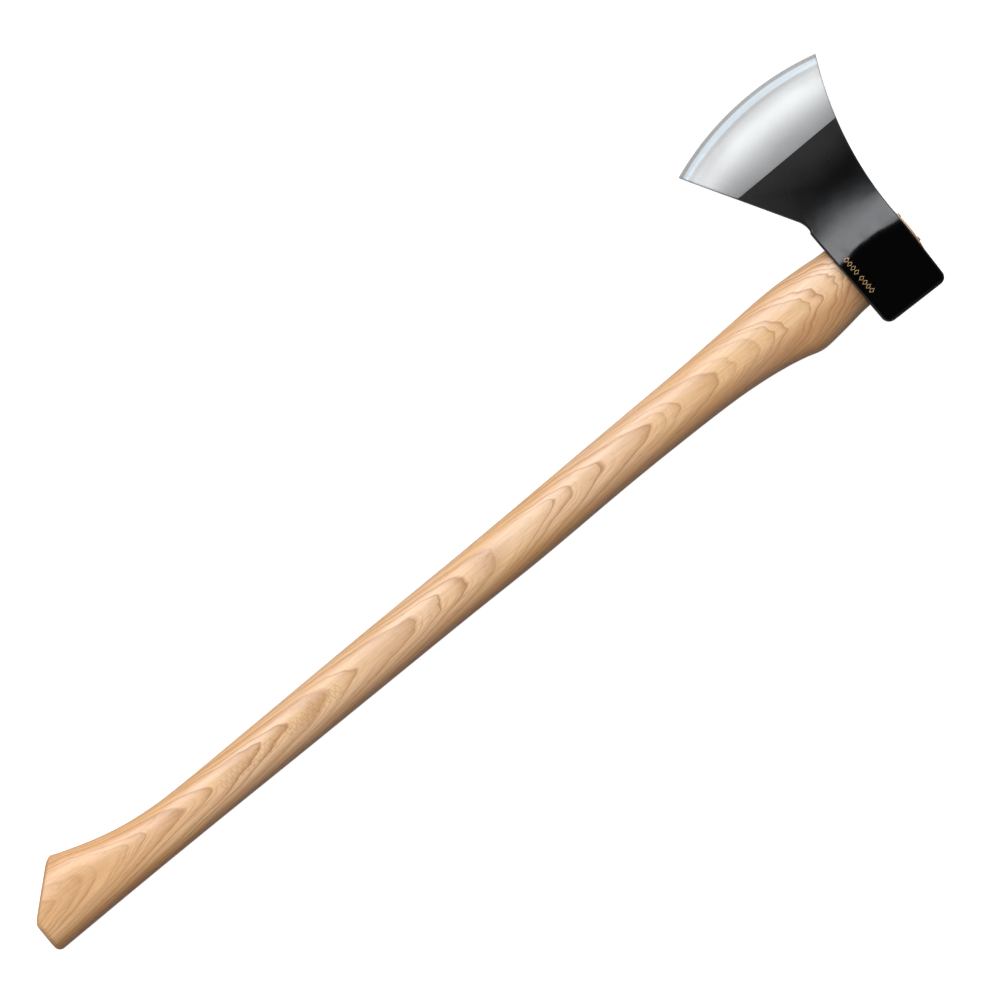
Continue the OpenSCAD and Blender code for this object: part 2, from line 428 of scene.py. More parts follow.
def arc_y(x, inset):
    """Height of an arc that lies inside the cutting edge by a distance."""
    return EDGE_CENTRE.y + math.sqrt((EDGE_RADIUS - inset) ** 2 - (x - EDGE_CENTRE.x) ** 2)


def crease_shift(x, y, waver):
    """How far the forged crease strays at a place, fading out down the cheek."""
    arch = CREASE_ARCH * math.cos(math.pi * (x - CREASE_ARCH_MIDDLE) / CREASE_ARCH_SPAN)
    ragged = waver * sum(
        share * math.sin(x / length + place) for length, place, share in CREASE_WAVES)
    return arch * (1 - ease(*CREASE_ARCH_FALL, y)) + ragged * (1 - ease(*CREASE_WAVES_FALL, y))


def cheek_half(x, y, settings):
    """Half of the head's thickness at a place on the cheek."""
    paint_reach = settings.paint_reach / MM
    bit_width = EDGE_REACH - paint_reach
    inset = edge_distance(x, y)
    straight = clamp((inset - ARC_LINES_END) / (STRAIGHT_LINES_START - ARC_LINES_END))
    reach = inset * (1 - straight) + (EDGE_REACH - y) * straight
    if reach < bit_width:
        lost = drop(CHEEK_SLOPES, paint_reach) + drop(BIT_SLOPES, bit_width)
        return HALF_HEAD - lost + drop(BIT_SLOPES, reach)
    middle = EYE_BLOCK_HEIGHT / 2
    crown = CHEEK_CROWN * ((x - middle) / middle) ** 2
    crown *= ease(*CROWN_RISE, y) * (1 - ease(*CROWN_FALL, y))
    waver = settings.crease_waver / MM
    return HALF_HEAD - drop(CHEEK_SLOPES, y - crease_shift(x, y, waver)) - crown


# ---------------------------------------------------------------------------------------
# Mesh tools


def loft(bm, rings):
    """Skins closed rings of points: one circle is extruded through them all."""
    ring = bmesh.ops.create_circle(bm, segments=len(rings[0]), radius=1)["verts"]
    skin = [ring]
    for vert, point in zip(ring, rings[0]):
        vert.co = point
    for points in rings[1:]:
        edges = [bm.edges.get((ring[k - 1], ring[k])) for k in range(len(ring))]
        made = bmesh.ops.extrude_edge_only(bm, edges=edges)["geom"]
        fresh = {item for item in made if isinstance(item, bmesh.types.BMVert)}
        ring = [
            next(e.other_vert(v) for e in v.link_edges if e.other_vert(v) in fresh)
            for v in ring
        ]
        for vert, point in zip(ring, points):
            vert.co = point
        skin.append(ring)
    return skin


def close_end(bm, ring):
    """Closes a ring with flat strips between the points that mirror each other."""
    half = len(ring) // 2
    upper, lower = ring[1:half], ring[:half:-1]
    edges = [bm.edges.get(pair) for side in (upper, lower) for pair in zip(side, side[1:])]
    bmesh.ops.bridge_loops(bm, edges=edges)
    bmesh.ops.holes_fill(bm, edges=[e for e in bm.edges if e.is_boundary], sides=3)


def finish_mesh(name, bm, materials):
    """Puts a shape in its place and turns it into an object with smooth faces."""
    bmesh.ops.remove_doubles(bm, verts=bm.verts, dist=MERGE_REACH)
    bmesh.ops.recalc_face_normals(bm, faces=bm.faces)
    bmesh.ops.transform(bm, matrix=PLACE, verts=bm.verts)
    mesh = bpy.data.meshes.new(name)
    bm.to_mesh(mesh)
    bm.free()
    for material in materials:
        mesh.materials.append(material)
    piece = bpy.data.objects.new(name, mesh)
    bpy.context.scene.collection.objects.link(piece)
    smooth(piece)
    return piece


def smooth(piece):
    """Smooth shading, with the sharper edges kept crisp."""
    piece.data.shade_smooth()
    piece.data.set_sharp_from_angle(angle=CRISP_ANGLE)


def carve(piece, cutter, operation="DIFFERENCE"):
    """Cuts one object with another, which is used up."""
    modifier = piece.modifiers.new("carve", "BOOLEAN")
    modifier.object = cutter
    modifier.operation = operation
    modifier.solver = "EXACT"
    with bpy.context.temp_override(object=piece, active_object=piece):
        bpy.ops.object.modifier_apply(modifier=modifier.name)
    bpy.data.objects.remove(cutter)
    smooth(piece)


def settle(piece, slot, *nodes):
    """Rides a piece on the maul and hides the imported nodes that it stands for; its slot is not
    used.
    """
    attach(piece, "root")
    if nodes:
        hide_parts(*nodes)


def rounded(ratio, power):
    """Coordinate of a superellipse, from a sine or a cosine."""
    return math.copysign(abs(ratio) ** (2 / power), ratio)


def oval(sides, power):
    """Unit points round an oval section, starting at the front and going over the top."""
    turns = [2 * math.pi * k / sides for k in range(sides)]
    return [(rounded(math.cos(t), power), rounded(math.sin(t), power)) for t in turns]


def eye_ring(x, inset, sides=EYE_SIDES):
    """Section of the flared eye at a height in the head."""
    flare = EYE_FLARE * x / EYE_BLOCK_HEIGHT - inset
    return [
        (x, EYE_CENTRE + (EYE_HALF_LENGTH + flare) * y, (EYE_HALF_WIDTH + flare) * z)
        for y, z in oval(sides, EYE_POWER)
    ]


def tapered_block(centre_y, tip_x, top_x, tip_half, top_half):
    """Wedge with flat sides, as a bmesh; a half is (along the cheek, square to it)."""
    bm = bmesh.new()
    bmesh.ops.create_cube(bm, size=2)
    for vert in bm.verts:
        x, (half_y, half_z) = (top_x, top_half) if vert.co.x > 0 else (tip_x, tip_half)
        vert.co = (x, centre_y + vert.co.y * half_y, vert.co.z * half_z)
    return bm


# ---------------------------------------------------------------------------------------
# Shading tools


class Tree:
    """Adds nodes to a tree. A value fed to an input is a socket or a constant."""

    def __init__(self, tree):
        self.tree = tree

    def feed(self, socket, value):
        if isinstance(value, bpy.types.NodeSocket):
            self.tree.links.new(value, socket)
        else:
            socket.default_value = value

    def add(self, kind, inputs=None, **settings):
        node = self.tree.nodes.new(kind)
        for key, value in settings.items():
            setattr(node, key, value)
        for key, value in (inputs or {}).items():
            self.feed(node.inputs[key], value)
        return node

    def maths(self, operation, *values):
        inputs = dict(enumerate(values))
        return self.add("ShaderNodeMath", inputs, operation=operation).outputs[0]

    def vector(self, operation, *values, output=0):
        inputs = dict(enumerate(values))
        return self.add("ShaderNodeVectorMath", inputs, operation=operation).outputs[output]

    def join(self, x, y, z):
        return self.add("ShaderNodeCombineXYZ", {0: x, 1: y, 2: z}).outputs[0]

    def split(self, vector):
        return self.add("ShaderNodeSeparateXYZ", {0: vector}).outputs

    def noise(self, vector, scale=1.0, detail=2.0, roughness=0.5):
        inputs = {"Vector": vector, "Scale": scale, "Detail": detail, "Roughness": roughness}
        return self.add("ShaderNodeTexNoise", inputs).outputs["Fac"]

    def swing(self, noise, amount):
        """Noise turned into a swing about nothing."""
        return self.maths("MULTIPLY", self.maths("SUBTRACT", noise, 0.5), amount)

    def remap(self, value, low, high, to_low=0.0, to_high=1.0):
        inputs = {0: value, 1: low, 2: high, 3: to_low, 4: to_high}
        return self.add(
            "ShaderNodeMapRange", inputs, interpolation_type="SMOOTHSTEP").outputs[0]

    def mix(self, factor, first, second):
        inputs = {0: factor, 6: paint(first), 7: paint(second)}
        return self.add("ShaderNodeMix", inputs, data_type="RGBA").outputs[2]

    def group(self, tree, inputs):
        return self.add("ShaderNodeGroup", inputs, node_tree=tree).outputs


def paint(colour):
    """A colour with its alpha, where it is a constant."""
    if isinstance(colour, bpy.types.NodeSocket):
        return colour
    return (*colour, 1.0)


def new_group(name, inputs, outputs):
    """Empty shader group with named sockets; inputs are {name: (socket type, default)}."""
    tree = bpy.data.node_groups.new(name, "ShaderNodeTree")
    for label, (kind, default) in inputs.items():
        socket = tree.interface.new_socket(label, in_out="INPUT", socket_type=kind)
        if default is not None:
            socket.default_value = default
    for label in outputs:
        tree.interface.new_socket(label, in_out="OUTPUT", socket_type="NodeSocketFloat")
    given = tree.nodes.new("NodeGroupInput").outputs
    out = tree.nodes.new("NodeGroupOutput").inputs
    return tree, given, out


def new_material(name):
    """Material with only its shader: returns it, its tree and the shader's inputs."""
    material = bpy.data.materials.new(name)
    material.use_nodes = True
    tree = Tree(material.node_tree)
    shader = next(n for n in material.node_tree.nodes if n.type == "BSDF_PRINCIPLED")
    return material, tree, shader.inputs


def millimetres(tree):
    """Object position in millimetres from the maul's datum."""
    position = tree.add("ShaderNodeTexCoord").outputs["Object"]
    inputs = {"Vector": position, "Location": -DATUM / MM, "Scale": (1 / MM,) * 3}
    return tree.add("ShaderNodeMapping", inputs).outputs[0]


def growth_group():
    """Growth rings of a log round a pith, with their pores and fibres, in millimetres."""
    name = "growth rings"
    if name in bpy.data.node_groups:
        return bpy.data.node_groups[name]
    scalar, vector = "NodeSocketFloat", "NodeSocketVector"
    group, given, out = new_group(
        name,
        {
            "Position": (vector, None), "Pith Y": (scalar, -25.0), "Pith Z": (scalar, -65.0),
            "Ring Width": (scalar, 3.4), "Lean": (scalar, 0.0), "Head Lean": (scalar, 0.0),
            "Waviness": (scalar, 3.0),
        },
        ("Line", "Pore", "Fibre", "Tone"),
    )
    t = Tree(group)
    position = given["Position"]
    x, y, z = t.split(position)
    # The growth rings wander slowly, and more sharply near the swell.
    slow = t.noise(t.vector("DIVIDE", position, SLOW_WANDER), 1.0, 1.5)
    quick = t.noise(t.vector("DIVIDE", position, QUICK_WANDER), 1.0, 0.6)
    wild = t.maths("EXPONENT", t.maths(
        "DIVIDE", t.maths("MINIMUM", x, 0.0), SWELL_WANDER_REACH))
    wild = t.maths("ADD", QUICK_WANDER_SIZE, t.maths("MULTIPLY", wild, SWELL_WANDER_SIZE))
    warp = t.maths("ADD", t.swing(slow, given["Waviness"]), t.swing(quick, wild))
    # Depth inside leaning shells round the pith, counted off in years of uneven width.
    across = t.join(0.0, t.maths("SUBTRACT", y, given["Pith Y"]),
                    t.maths("SUBTRACT", z, given["Pith Z"]))
    reach = t.vector("LENGTH", across, output=1)
    steeper = t.maths("EXPONENT", t.maths("DIVIDE", x, HEAD_LEAN_REACH))
    runout = t.maths("ADD", t.maths("MULTIPLY", x, given["Lean"]),
                     t.maths("MULTIPLY", steeper, given["Head Lean"]))
    depth = t.maths("SUBTRACT", warp, t.maths("ADD", reach, runout))
    even = t.maths("DIVIDE", depth, given["Ring Width"])
    pace = t.noise(t.join(t.maths("MULTIPLY", even, 0.6), 0.0, 0.0), 1.0, 0.0)
    rings = t.maths("ADD", even, t.maths("MULTIPLY", pace, 2.0))
    year = t.add("ShaderNodeTexWhiteNoise", {"W": t.maths("FLOOR", rings)},
                 noise_dimensions="1D").outputs["Value"]
    # A year starts as a sharp line and fades. Finer lines run between in patches.
    part = t.maths("FRACT", rings)
    late = t.maths("SUBTRACT", 1.0, part)
    soft = t.maths("MULTIPLY", t.maths("POWER", late, 2.2), 0.6)
    fine = t.maths("MULTIPLY", t.maths("POWER", late, 6.0), 0.4)
    line = t.maths("MAXIMUM", t.maths("ADD", soft, fine), t.remap(part, 0.84, 1.0))
    strength = t.maths("ADD", 0.3, t.maths("MULTIPLY", year, 0.7))
    between = t.maths("FRACT", t.maths("MULTIPLY", rings, FINE_LINES_A_RING))
    ripple = t.maths("POWER", t.maths("SUBTRACT", 1.0, between), 3.0)
    patch = t.maths("MULTIPLY", t.remap(slow, 0.36, 0.6, 0.4, 1.0),
                    t.remap(y, 0.0, -10.0, 0.2, 0.7))
    line = t.maths("MAXIMUM", t.maths("MULTIPLY", line, strength),
                   t.maths("MULTIPLY", ripple, patch))
    t.feed(out["Line"], line)
    pore = t.noise(t.vector("MULTIPLY", position, PORES), 1.0, 1.0)
    early = t.remap(part, 0.55, 0.0, 0.2, 1.0)
    t.feed(out["Pore"], t.maths("MULTIPLY", t.remap(pore, 0.60, 0.70), early))
    t.feed(out["Fibre"], t.noise(t.vector("MULTIPLY", position, FIBRES), 1.0, 5.0, 0.65))
    t.feed(out["Tone"], t.noise(t.vector("DIVIDE", position, TONES), 1.0, 1.0))
    return group


def unevenness_group():
    """Slow and fine unevenness of a worked metal surface, in millimetres."""
    name = "unevenness"
    if name in bpy.data.node_groups:
        return bpy.data.node_groups[name]
    scalar, vector = "NodeSocketFloat", "NodeSocketVector"
    group, given, out = new_group(
        name,
        {
            "Position": (vector, None), "Slow Size": (scalar, 24.0), "Fine Size": (scalar, 1.6),
            "Fine Share": (scalar, 0.2),
        },
        ("Height", "Variation"),
    )
    t = Tree(group)

    def sized(size):
        return t.vector("DIVIDE", given["Position"], t.join(size, size, size))

    slow = t.noise(sized(given["Slow Size"]), 1.0, 2.0)
    fine = t.noise(sized(given["Fine Size"]), 1.0, 1.0)
    t.feed(out["Height"], t.maths("ADD", slow, t.maths("MULTIPLY", fine, given["Fine Share"])))
    t.feed(out["Variation"], t.maths("MULTIPLY", t.maths("ADD", slow, fine), 0.5))
    return group


# ---------------------------------------------------------------------------------------
# Materials


def enamel_material(settings):
    """Gloss black enamel on the forging, with a painted sheen that greys it towards the bit."""
    material, t, shader = new_material("black_enamel")
    position = millimetres(t)
    x, y, z = t.split(position)
    surface = t.group(unevenness_group(), {
        "Position": position, "Slow Size": 26.0, "Fine Size": 1.3, "Fine Share": 0.04})
    # Painted sheen: the enamel is painted greyer down the blade, first of all at its heel and its
    # toe, in place of the soft panel's reflection.
    painted_sheen = t.remap(y, 48.0, 88.0)
    sheen_at_ends = t.remap(t.maths("ABSOLUTE", t.maths("SUBTRACT", x, 40.0)), 6.0, 60.0, 0.0, 0.9)
    painted_sheen = t.maths("MAXIMUM", painted_sheen, t.maths("MULTIPLY", sheen_at_ends, t.remap(y, 34.0, 56.0)))
    painted_sheen = t.maths("MULTIPLY", painted_sheen, t.remap(surface["Variation"], 0.3, 0.7, 0.85, 1.1))
    t.feed(shader["Base Color"], t.mix(painted_sheen, settings.enamel, settings.sheen_enamel))
    t.feed(shader["Roughness"], t.remap(surface["Variation"], 0.3, 0.7, 0.12, 0.16))
    shader["IOR"].default_value = 1.47
    # Hammer marks show along the forged crease.
    hammered = t.noise(t.vector("MULTIPLY", position, (1, 0.35, 1)), 0.8, 2.0)
    crease = t.remap(t.maths("ABSOLUTE", t.maths("SUBTRACT", y, 3.5)), 6.0, 1.0, 0.0, 0.35)
    height = t.maths("ADD", surface["Height"], t.maths("MULTIPLY", hammered, crease))
    bump = t.add("ShaderNodeBump", {"Height": height, "Strength": 1.0, "Distance": 0.00012})
    t.feed(shader["Normal"], bump.outputs[0])
    return material


def steel_material(settings):
    """Satin steel of the ground bit, with grinding lines square to the edge."""
    material, t, shader = new_material("ground_steel")
    position = millimetres(t)
    x, y, z = t.split(position)
    # Distances in from the edge and along it.
    side = t.maths("SUBTRACT", x, EDGE_CENTRE.x)
    rise = t.maths("SUBTRACT", y, EDGE_CENTRE.y)
    reach = t.vector("LENGTH", t.join(side, rise, 0.0), output=1)
    inset = t.maths("SUBTRACT", EDGE_RADIUS, reach)
    along = t.maths("MULTIPLY", t.maths("ARCTAN2", side, rise), EDGE_RADIUS)
    lines = t.noise(t.join(t.maths("MULTIPLY", along, 2.6), t.maths("MULTIPLY", inset, 0.05),
                           z), 1.0, 3.0, 0.65)
    cloud = t.noise(t.join(t.maths("DIVIDE", along, 18.0), t.maths("DIVIDE", inset, 9.0),
                           0.0), 1.0, 2.0)
    # Painted shade: the colour is darker in the groove behind the bevel, on the very edge, and at
    # the heel and the toe.
    groove = t.maths("MULTIPLY", t.remap(inset, 5.6, 8.6), t.remap(inset, 12.5, 8.8))
    land = t.remap(inset, 4.0, 2.2)
    ends = t.maths("MULTIPLY", t.remap(t.maths("ABSOLUTE", side), 18.0, 62.0, 0.0, 0.45),
                   t.remap(inset, 8.0, 16.0))
    shade = t.maths("ADD", t.maths("MULTIPLY", groove, 0.18), t.maths("MAXIMUM", land, ends))
    # More painted shade further in from the edge, towards the enamel.
    shade = t.maths("ADD", shade, t.remap(inset, 24.0, 54.0, 0.0, 0.42))
    shade = t.maths("ADD", shade, t.maths("ADD", t.swing(cloud, 0.12), t.swing(lines, 0.14)))
    # The painted shade's colour is a darker copy of the steel.
    dark = tuple(0.42 * channel for channel in settings.steel)
    colour = t.mix(shade, settings.steel, dark)
    # Painted reflection: the honed bevel is tinted bluish, as if it reflected cool light.
    bevel = t.maths("MULTIPLY", t.remap(inset, 3.2, 4.2), t.remap(inset, 7.4, 6.2))
    painted_reflection_tint = (0.285, 0.325, 0.35)
    t.feed(shader["Base Color"], t.mix(t.maths("MULTIPLY", bevel, 0.8), colour, painted_reflection_tint))
    t.feed(shader["Roughness"], t.remap(lines, 0.3, 0.7, 0.36, 0.44))
    shader["Metallic"].default_value = 1.0
    bump = t.add("ShaderNodeBump", {"Height": lines, "Strength": 0.25, "Distance": 0.00005})
    t.feed(shader["Normal"], bump.outputs[0])
    return material


def gilt_material(settings):
    """Thin gilt print, a little worn."""
    material, t, shader = new_material("gilt_print")
    wear = t.noise(millimetres(t), 0.9, 3.0)
    worn = tuple(0.45 * channel for channel in settings.gilt)
    t.feed(shader["Base Color"], t.mix(t.remap(wear, 0.45, 0.7), settings.gilt, worn))
    t.feed(shader["Roughness"], t.remap(wear, 0.3, 0.7, 0.35, 0.6))
    shader["Metallic"].default_value = 0.35
    return material


def stamp_mask(t, position, settings):
    """Two groups of faint burnt lozenges along the upper side of the handle."""
    length = STAMP_PITCH * STAMP_IN_GROUP
    x, y, z = t.split(position)
    run = t.maths("ADD", x, settings.stamp_start / MM)
    second = t.maths("GREATER_THAN", run, length + STAMP_GAP / 2)
    run = t.maths("SUBTRACT", run, t.maths("MULTIPLY", second, length + STAMP_GAP))
    inside = t.maths("MULTIPLY", t.maths("GREATER_THAN", run, 0.0),
                     t.maths("LESS_THAN", run, length))
    cell = t.maths("FRACT", t.maths("DIVIDE", run, STAMP_PITCH))
    cell = t.maths("ABSOLUTE", t.maths("SUBTRACT", cell, 0.5))
    wide = t.maths("MULTIPLY", cell, 2 * STAMP_HALF_HEIGHT / STAMP_FILL)
    ring = t.maths("ADD", wide, t.maths("ABSOLUTE", y))
    ring = t.maths("ABSOLUTE", t.maths("SUBTRACT", ring, STAMP_HALF_HEIGHT))
    mark = t.remap(ring, STAMP_HALF_STROKE * 2, STAMP_HALF_STROKE)
    mark = t.maths("MULTIPLY", mark, inside)
    return t.maths("MULTIPLY", mark, t.maths("GREATER_THAN", z, 0.0))


def hickory_material(settings):
    """Varnished hickory, with cathedral grain on the swell and straight grain below."""
    material, t, shader = new_material("varnished_hickory")
    position = millimetres(t)
    x, y, z = t.split(position)
    # The grain bends off the shaft line at the swell and at the knob.
    bend = t.maths("ADD", t.remap(x, -60.0, -280.0, -5.0, 3.0),
                   t.remap(x, -540.0, -690.0, 0.0, 9.0))
    bent = t.maths("SUBTRACT", y, bend)
    grain = t.group(growth_group(), {
        "Position": t.join(x, bent, z), "Pith Y": 5.0, "Pith Z": 75.0,
        "Ring Width": settings.ring_width / MM, "Lean": 0.075, "Head Lean": 18.0,
        "Waviness": 4.2})
    # Pink and pale streaks, amber at the knob, with darker fibres and growth lines.
    pink, amber = (0.95, 0.63, 0.375), (0.94, 0.52, 0.215)
    colour = t.mix(t.remap(grain["Tone"], 0.3, 0.6), settings.light_wood, pink)
    knob = t.remap(x, -560.0, -690.0)
    colour = t.mix(t.maths("MULTIPLY", knob, 0.6), colour, amber)
    colour = t.mix(t.remap(grain["Fibre"], 0.35, 0.72, 0.0, 0.28), colour,
                   settings.dark_wood)
    colour = t.mix(grain["Line"], colour, settings.dark_wood)
    # Painted shade: darker towards the lower edge, away from the soft panel, faintly darker over
    # the upper side, and darker low on the knob. The butt's end is darker too.
    painted_shade_and_butt_end = t.maths("MAXIMUM", t.remap(y, 1.0, 13.0, 0.0, 0.2),
                    t.remap(y, -6.0, -18.0, 0.0, 0.55))
    past = t.maths("MAXIMUM", t.maths("SUBTRACT", y, BUTT_FLAT_REACH), 0.0)
    butt = t.maths("SUBTRACT", x, t.maths("MULTIPLY", past, math.tan(KNOB_RAKE)))
    painted_shade_and_butt_end = t.maths("MAXIMUM", painted_shade_and_butt_end, t.remap(
        butt, 6.0 - HANDLE_REACH, 2.0 - HANDLE_REACH, 0.0, 0.5))
    painted_shade_and_butt_end = t.maths("MAXIMUM", painted_shade_and_butt_end, t.maths("MULTIPLY", knob, t.remap(
        y, -7.0, -13.0, 0.0, 0.6)))
    colour = t.mix(painted_shade_and_butt_end, colour, settings.dark_wood)
    # Open pores, and the burnt marks.
    brown = tuple(0.55 * channel for channel in settings.dark_wood)
    colour = t.mix(t.maths("MULTIPLY", grain["Pore"], 0.45), colour, brown)
    burnt = stamp_mask(t, position, settings)
    colour = t.mix(t.maths("MULTIPLY", burnt, 0.28), colour, brown)
    t.feed(shader["Base Color"], colour)
    t.feed(shader["Roughness"], t.remap(grain["Fibre"], 0.3, 0.7, 0.38, 0.5))
    shader["IOR"].default_value = 1.52
    shader["Coat Weight"].default_value = 0.8
    shader["Coat Roughness"].default_value = 0.38
    height = t.maths("ADD", t.maths("MULTIPLY", grain["Pore"], -0.6),
                     t.maths("MULTIPLY", grain["Line"], -0.25))
    height = t.maths("SUBTRACT", height, burnt)
    bump = t.add("ShaderNodeBump", {"Height": height, "Strength": 0.5, "Distance": 0.0001})
    t.feed(shader["Normal"], bump.outputs[0])
    return material


def wedge_wood_material():
    """Sawn hardwood of the wedge, its growth rings lying across the handle's."""
    material, t, shader = new_material("wedge_hardwood")
    grain = t.group(growth_group(), {
        "Position": millimetres(t), "Pith Y": 30.0, "Pith Z": 5.0, "Ring Width": 1.6,
        "Lean": 0.02, "Waviness": 1.5})
    light, dark = (0.44, 0.27, 0.15), (0.22, 0.115, 0.055)
    colour = t.mix(t.maths("MULTIPLY", grain["Line"], 0.8), light, dark)
    colour = t.mix(t.maths("MULTIPLY", grain["Pore"], 0.7), colour, (0.08, 0.04, 0.02))
    t.feed(shader["Base Color"], colour)
    t.feed(shader["Roughness"], t.remap(grain["Fibre"], 0.3, 0.7, 0.55, 0.8))
    bump = t.add("ShaderNodeBump", {
        "Height": grain["Pore"], "Strength": 0.5, "Distance": -0.0001})
    t.feed(shader["Normal"], bump.outputs[0])
    return material


def wedge_steel_material():
    """Dull cut steel of the small wedges, with a few darker patches."""
    material, t, shader = new_material("wedge_steel")
    surface = t.group(unevenness_group(), {
        "Position": millimetres(t), "Slow Size": 4.0, "Fine Size": 0.6, "Fine Share": 0.5})
    t.feed(shader["Base Color"], t.mix(
        t.remap(surface["Variation"], 0.42, 0.62), (0.42, 0.42, 0.43), (0.20, 0.17, 0.15)))
    t.feed(shader["Roughness"], t.remap(surface["Variation"], 0.3, 0.7, 0.35, 0.6))
    shader["Metallic"].default_value = 1.0
    bump = t.add("ShaderNodeBump", {
        "Height": surface["Height"], "Strength": 0.6, "Distance": 0.00015})
    t.feed(shader["Normal"], bump.outputs[0])
    return material


# ---------------------------------------------------------------------------------------
# Head


def head_curves(paint_reach):
    """Lines across the head, from the poll to the edge, as (y at an x, distance from the poll)."""
    corner = [POLL_CORNER * (1 - math.sin(angle)) for angle in reversed(quarter(POLL_STEPS))]
    straight = spread(POLL_CORNER - POLL_REACH, CHEEK_LINES[0][0], POLL_LINES_APART)[1:]
    for lines in CHEEK_LINES:
        straight += spread(*lines)
    straight += spread(CHEEK_LINES[-1][1], paint_reach, BLADE_LINES_APART) + [paint_reach]
    reaches = corner + [y + POLL_REACH for y in straight]
    curves = [(lambda x, e=reach: e - POLL_REACH, reach) for reach in reaches]
    past_poll = paint_reach + POLL_REACH
    for share in spread(0, 1, 1 / FAN_LINES)[1:]:
        curves.append((
            lambda x, v=share: paint_reach * (1 - v) + arc_y(x, FAN_START) * v, past_poll))
    insets = spread(FAN_START, 0, BIT_LINES_APART)
    curves += [(lambda x, d=inset: arc_y(x, d), past_poll) for inset in insets]
    return curves


def head_ring(y_at, poll_distance, settings):
    """Closed ring of points round the head, along one line across it."""
    low, high = 0, EYE_BLOCK_HEIGHT
    for _ in range(OUTLINE_PASSES):
        low, high = underside(y_at(low)), topside(y_at(high))
    plan = round_in(poll_distance, POLL_CORNER)
    low, high = low + plan, high - plan
    middle = (low + high) / 2
    rake = math.tan(POLL_RAKE) * (1 - ease(POLL_CORNER, RAKE_END, poll_distance))
    arris = round_in(poll_distance, POLL_ARRIS)
    paint_reach = settings.paint_reach / MM
    forged = 1 - ease(*GRIND_FEATHER, y_at(middle) - paint_reach)
    radius = (settings.bit_round + (settings.edge_round - settings.bit_round) * forged) / MM

    def half(x):
        return cheek_half(x, y_at(x), settings) - arris

    def point(x, z):
        return Vector((x, y_at(x) - (x - EYE_BLOCK_HEIGHT / 2) * rake, z))

    corner = min(radius, CORNER_SHARE * half(low), CORNER_SHARE * half(high))
    upper = [point(low, 0), point(low, (half(low + corner) - corner) * SIDE_LINE)]
    for angle in quarter(CORNER_STEPS):
        upper.append(point(low + corner - corner * math.cos(angle),
                           half(low + corner) - corner + corner * math.sin(angle)))
    for k in range(1, HEAD_COLUMNS):
        x = low + corner + (high - low - 2 * corner) * k / HEAD_COLUMNS
        upper.append(point(x, half(x)))
    for angle in reversed(quarter(CORNER_STEPS)):
        upper.append(point(high - corner + corner * math.cos(angle),
                           half(high - corner) - corner + corner * math.sin(angle)))
    upper += [point(high, (half(high - corner) - corner) * SIDE_LINE), point(high, 0)]
    lower = [Vector((p.x, p.y, -p.z)) for p in upper[-2:0:-1]]
    return upper + lower


class MAUL_OT_head(bpy.types.Operator):
    """Build the forged head, with its eye, its enamel and its ground bit"""

    bl_idname = "maul.head"
    bl_label = "Head"

    def execute(self, context):
        settings = context.scene.maul_head
        paint_reach = settings.paint_reach / MM
        rings = [head_ring(y_at, reach, settings) for y_at, reach in head_curves(paint_reach)]
        rings.append([Vector((p.x, arc_y(p.x, 0), 0)) for p in rings[-1]])
        bm = bmesh.new()
        skin = loft(bm, rings)
        close_end(bm, skin[0])
        for face in bm.faces:
            face.material_index = int(face.calc_center_median().y > paint_reach)
        materials = [enamel_material(settings), steel_material(settings)]
        head = finish_mesh("forged_head", bm, materials)
        eye = bmesh.new()
        over = EYE_CHAMFER * 1.5
        rings = [
            eye_ring(UNDER_START - over, -over - EYE_CHAMFER),
            eye_ring(UNDER_START + EYE_CHAMFER, 0),
            eye_ring(EYE_BLOCK_HEIGHT - EYE_CHAMFER, 0),
            eye_ring(EYE_BLOCK_HEIGHT + over, -over - EYE_CHAMFER),
        ]
        skin = loft(eye, rings)
        close_end(eye, skin[0])
        close_end(eye, skin[-1])
        carve(head, finish_mesh("eye_cutter", eye, []))
        settle(head, "enamelled_steel", "head")
        return {"FINISHED"}


# ---------------------------------------------------------------------------------------
# Gilt marks


class MAUL_OT_gilt(bpy.types.Operator):
    """Lay the plain gilt marks on the upper cheek"""

    bl_idname = "maul.gilt"
    bl_label = "Gilt marks"

    def execute(self, context):
        settings = context.scene.maul_head
        bm = bmesh.new()
        for start in GILT_STARTS:
            for k in range(GILT_IN_GROUP):
                made = bmesh.ops.create_circle(bm, segments=4, radius=1, cap_ends=True)
                verts = made["verts"]
                centre = Vector((GILT_X, start - GILT_PITCH * k, 0))
                bmesh.ops.scale(bm, vec=GILT_HALVES, verts=verts)
                bmesh.ops.translate(bm, vec=centre, verts=verts)
        inset = bmesh.ops.inset_individual(bm, faces=bm.faces[:], thickness=GILT_STROKE)
        frames = set(inset["faces"])
        hearts = [face for face in bm.faces if face not in frames]
        bmesh.ops.delete(bm, geom=hearts, context="FACES")
        bmesh.ops.subdivide_edges(bm, edges=bm.edges[:], cuts=1)
        raised = bmesh.ops.extrude_face_region(bm, geom=bm.faces[:])["geom"]
        top = {item for item in raised if isinstance(item, bmesh.types.BMVert)}
        for vert in bm.verts:
            lift = GILT_PROUD if vert in top else -GILT_PROUD
            vert.co.z = cheek_half(vert.co.x, vert.co.y, settings) + lift
        marks = finish_mesh("gilt_marks", bm, [gilt_material(settings)])
        settle(marks, "gilt_mark")
        return {"FINISHED"}


# ---------------------------------------------------------------------------------------
# Handle and wedges


def butt_x(y):
    """The butt's square end, bent smoothly into the raked cut on the knob."""
    past = y - BUTT_FLAT_REACH
    bent = (past + math.sqrt(past * past + BUTT_BEND**2)) / 2
    return -HANDLE_REACH + BUTT_TRIM + bent * math.tan(KNOB_RAKE)


